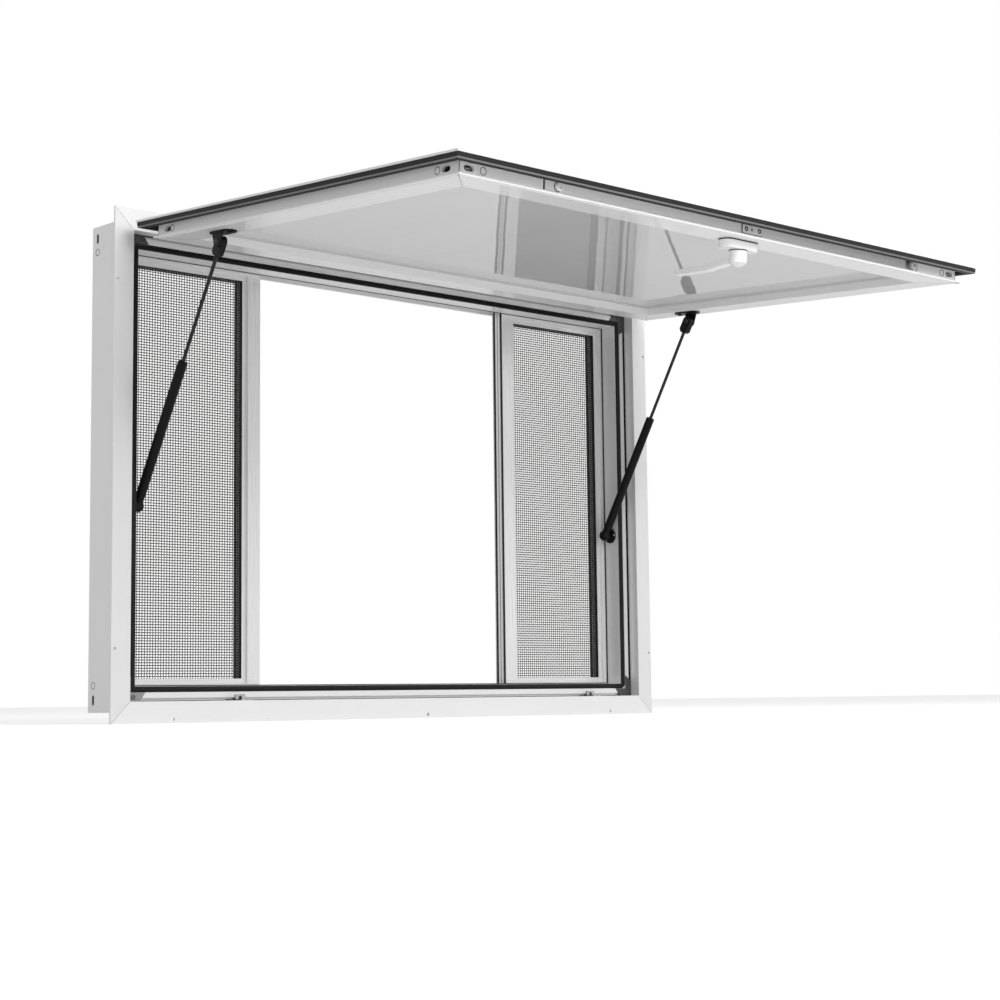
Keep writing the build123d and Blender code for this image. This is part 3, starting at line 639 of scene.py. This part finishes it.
# A black block in the groove at the bar's left end is painted shadow of the open slit there.
stop = Shape(swing)
stop.box((bar_low.x - 0.0028, bar_low.y + 0.0002, bar_face + 0.0001),
         (bar_low.x - 0.0004, bar_high.y, bar_face + 0.0016))
stop.piece("bar_slit_shadow", "hatch", "seal_rubber", rubber("slit_shadow_black"))
end_plate_start, end_plate_end = 0.3262, 0.3424
end_plate = Shape(swing)
end_plate.box((end_plate_start, bar_low.y + 0.0004, bar_face - 0.0006),
              (end_plate_end, bar_high.y - 0.0004, bar_face + 0.0002))
end_plate.piece("bolt_plate", "latch", "plated_steel", plated("end_plate_steel", 0.20, 0.30, 0.4), 0.0002)


# Handle
# A die-cast rose and lever with white powder coat, screwed over the front rail. The
# coat has a fine grain, and hands have polished it in places.
powder = Finish("white_powder", Coat_Roughness=0.1)
coat_grain, rubs = powder.noise(900, 2), powder.noise(40, 4)
powder.set(Base_Color=powder.shades(rubs, 0.84, 0.90), Roughness=coat_grain * 0.1 + rubs * 0.1 + 0.2,
           Coat_Weight=rubs * 0.2 + 0.3)
powder.relief(coat_grain, 0.00003, 0.0008)
dress(powder, "handle_base", "handle_lever")
base_low, base_high = shut_box("handle_base")
spindle = Vector(((base_low.x + base_high.x) / 2, base_high.y, (base_low.z + base_high.z) / 2))


# Handle gaskets
# A thin black rubber plate under the rose keeps water out of the rail. A nylon washer
# turns between the rose and the lever's boss.
def stadium(reach, half, steps=12):
    """Outline (across, up) of a plate with round ends."""
    return [(side * (reach - half) + half * cos(a), half * sin(a))
            for side, turn in ((1, -pi / 2), (-1, pi / 2))
            for a in (turn + pi * i / steps for i in range(steps + 1))]


gasket_proud, gasket_thick = 0.0006, 0.0013
rose_half, rose_reach = (base_high.z - base_low.z) / 2, (base_high.x - base_low.x) / 2
gaskets = Shape(swing)
outline = stadium(rose_reach + gasket_proud, rose_half + gasket_proud)
gaskets.loft([[(spindle.x + a, y, spindle.z + b) for a, b in outline]
              for y in (base_low.y + 0.0001, base_low.y + gasket_thick)])
boss_washer = [(0.0060, -0.0002), (0.0060, 0.0010), (0.0110, 0.0010), (0.0110, -0.0002)]
gaskets.loft(turned(facing(spindle, (0, 1, 0)), boss_washer), True)
gaskets.piece("handle_gaskets", "hatch", "seal_rubber", rubber("handle_rubber", 0.010, 0.02, 0.5))


# Struts
# Two gas struts: a painted steel bracket on each side rail, a nylon eye on a dark
# nitrided rod, a black painted tube and a nylon socket on a ball stud in the jamb.
paint = dull("black_paint", 0.003, 0.007, 0.36, 500, 0.00003, Specular_IOR_Level=0.12)
nylon = dull("black_nylon", 0.003, 0.007, 0.45, 260, 0.00005, Specular_IOR_Level=0.15)
rod_metal = plated("nitrided_rod", 0.02, 0.04, 0.3)
dress(plated("ball_stud_steel", 0.30, 0.5, 0.3), "strut_left_ball_stud", "strut_right_ball_stud")
highlight_pip_steel = plated("highlight_pip_steel", 0.7, 0.85, 0.25)
pin_rim = [(0.0036, 0), (0.0036, 0.0006), (0.0030, 0.0011), (0.0012, 0.0013)]
pan_head = [(0.0038, 0), (0.0038, 0.0005), (0.0030, 0.0014), (0.0012, 0.0016), (0.0009, 0.0009)]
neck_rings = ((0.0010, 0.0056), (0.0150, 0.0058), (0.0170, 0.0066), (0.0180, 0.0064))
barrel_rings = ((-0.0066, 0.0050), (-0.0058, 0.0062), (-0.0030, 0.0074), (0.0046, 0.0074), (0.0060, 0.0066),
                (0.0062, 0.0050))
collar_dome = [(0.0112, 0.0), (0.0112, 0.0014), (0.0100, 0.0032), (0.0072, 0.0042), (0.0040, 0.0044)]
pip_dome = [(0.0017, 0), (0.0017, 0.0006), (0.0013, 0.0012), (0.0005, 0.0015)]
pin_outside, pin_inside, plate_rise = 0.0065, 0.004, 0.022
jamb_face, screw_spread = 0.4245, 0.0145
pip_x, pip_ahead, pip_up = 0.4228, 0.0092, 0.0006
stud_low, stud_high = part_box("strut_left_ball_stud")
strut_foot = (stud_low + stud_high) / 2
for sign, side in ((-1, "left"), (1, "right")):
    strut = f"strut_{side}_"
    dress(paint, strut + "bracket", strut + "tube")
    dress(nylon, strut + "eye")
    dress(rod_metal, strut + "rod")
    joint = next(joint for joint in frame["joints"] if joint["name"] == strut + "pivot")
    pin = Vector(joint["pos_m"])
    pin_head = Shape()
    pin_head.loft(domed(facing((pin.x + sign * pin_outside, pin.y, pin.z), (sign, 0, 0)), pin_rim))
    pin_head.loft(domed(facing((pin.x - sign * pin_inside, pin.y, pin.z), (-sign, 0, 0)), pin_rim))
    pin_head.piece(strut + "pin_heads", "hatch", "stainless_steel",
                   plated(strut + "pin_steel", 0.03, 0.07, 0.4))
    bracket_low, bracket_high = shut_box(strut + "bracket")
    bracket_middle = (bracket_low + bracket_high) / 2
    heads = Shape(swing)
    for z in (bracket_middle.z - screw_spread, bracket_middle.z + screw_spread):
        heads.loft(domed(facing((bracket_middle.x, rail_low.y + plate_rise, z), (0, 1, 0)), pan_head))
    heads.piece(strut + "bracket_screws", "hatch", "plated_steel", paint)
    ball = Vector((pin.x, strut_foot.y, strut_foot.z))
    along, outward = (pin - ball).normalized(), Vector((sign, 0, 0))
    turn = Matrix((outward, outward.cross(along), along)).transposed().to_4x4()
    socket = Shape(Matrix.Translation(ball) @ turn)
    socket.loft([[(r * cos(a), r * sin(a), h) for a in (2 * pi * i / 24 for i in range(24))]
                 for h, r in neck_rings])
    socket.loft([[(x, r * cos(a), r * sin(a)) for a in (2 * pi * i / 28 for i in range(28))]
                 for x, r in barrel_rings])
    socket = socket.piece(strut + "ball_socket", strut + "lower", "strut_plastic", nylon, 0.0003)
    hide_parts(strut + "socket")
    collar = Shape().loft(domed(facing((sign * jamb_face, ball.y, ball.z), (-sign, 0, 0)), collar_dome))
    collar.piece(strut + "stud_collar", "frame", "strut_plastic", nylon)
    # A small bright steel dome on each stud's collar is placed as a painted highlight.
    pip_place = facing((sign * pip_x, ball.y - pip_ahead, ball.z + pip_up), (0, -1, 0))
    pip = Shape().loft(domed(pip_place, pip_dome, 14))
    pip.piece(strut + "stud_highlight_pip", "frame", "stainless_steel", highlight_pip_steel)


# Floor
# A plain pale floor at the height of the sill's underside. The eye sees it almost
# white, it keeps the window's soft shadow, and a faint glow fills in from below.
floor_z, floor_half = sill_low.z, 30.0
eye_glow, mirror_glow, fill_glow = 0.4, 0.2, 0.1
floor_mesh = bpy.data.meshes.new("floor")
work = bmesh.new()
bmesh.ops.create_grid(work, x_segments=1, y_segments=1, size=floor_half)
work.to_mesh(floor_mesh)
work.free()
floor = bpy.data.objects.new("floor", floor_mesh)
floor.location.z = floor_z
bpy.context.scene.collection.objects.link(floor)
pale = Finish("pale_floor", Base_Color=(0.9, 0.9, 0.9, 1), Roughness=1.0, Specular_IOR_Level=0.0)
seen = pale.node("LightPath", output="Is Camera Ray")
mirrored = pale.node("LightPath", output="Is Glossy Ray")
pale.set(Emission_Color=pale.shades(seen * eye_glow + mirrored * mirror_glow + fill_glow, 0.0, 1.0))
pale.shader.inputs["Emission Strength"].default_value = 1.0
floor_mesh.materials.append(pale.material)


# Light
# A white studio: even light all round, a soft main lamp high in front, and two weaker
# ones low at the left and at the right. The eye, mirrors and glass see plain white.
world = bpy.context.scene.world or bpy.data.worlds.new("studio")
bpy.context.scene.world = world
world.use_nodes = True
tree = world.node_tree
tree.nodes.clear()
output = tree.nodes.new("ShaderNodeOutputWorld")
background = tree.nodes.new("ShaderNodeBackground")
ambient, white = 0.40, 1.0
path = tree.nodes.new("ShaderNodeLightPath")
seen_any = path.outputs["Is Camera Ray"]
for name in ("Is Glossy Ray", "Is Transmission Ray"):
    either = tree.nodes.new("ShaderNodeMath")
    either.operation = "MAXIMUM"
    tree.links.new(seen_any, either.inputs[0])
    tree.links.new(path.outputs[name], either.inputs[1])
    seen_any = either.outputs[0]
level = tree.nodes.new("ShaderNodeMapRange")
level.inputs["To Min"].default_value, level.inputs["To Max"].default_value = ambient, white
tree.links.new(seen_any, level.inputs["Value"])
tree.links.new(level.outputs["Result"], background.inputs["Strength"])
background.inputs["Color"].default_value = (1, 1, 1, 1)
tree.links.new(background.outputs[0], output.inputs[0])


def lamp(name, place, target, size, power):
    data = bpy.data.lights.new(name, "AREA")
    data.shape, data.size, data.energy = "SQUARE", size, power
    made = bpy.data.objects.new(name, data)
    made.location = place
    made.rotation_euler = (Vector(target) - Vector(place)).to_track_quat("-Z", "Y").to_euler()
    bpy.context.scene.collection.objects.link(made)


lamp("key_lamp", (-0.1, -3.1, 2.1), target=(0.0, 0.0, 0.35), size=1.5, power=70)
lamp("side_lamp", (-3.5, -1.2, 0.4), target=(-0.4, 0.0, 0.25), size=1.4, power=13)
lamp("fill_lamp", (2.6, -2.2, 1.0), target=(0.2, 0.0, 0.35), size=1.6, power=5)


# Camera
# The eye stands low at the front left of the window, a little above the floor, and
# looks slightly up at it through a long lens.
view = bpy.data.cameras.new("view")
view.sensor_width, view.lens = 36.0, 74.04
view.shift_x, view.shift_y = -0.02796, -0.03455
view.clip_start = 0.01
eye = bpy.data.objects.new("eye", view)
bpy.context.scene.collection.objects.link(eye)
yaw, pitch, roll = radians(43.2154), radians(6.4898), radians(-0.7610)
ahead = Vector((sin(yaw) * cos(pitch), cos(yaw) * cos(pitch), sin(pitch)))
level_right = Vector((cos(yaw), -sin(yaw), 0))
level_up = level_right.cross(ahead)
right = cos(roll) * level_right + sin(roll) * level_up
up = -sin(roll) * level_right + cos(roll) * level_up
facing_window = Matrix((right, up, -ahead)).transposed().to_4x4()
eye.matrix_world = Matrix.Translation((eye_x, eye_y, eye_z)) @ facing_window
bpy.context.scene.camera = eye
bpy.context.scene.view_settings.view_transform = "Standard"
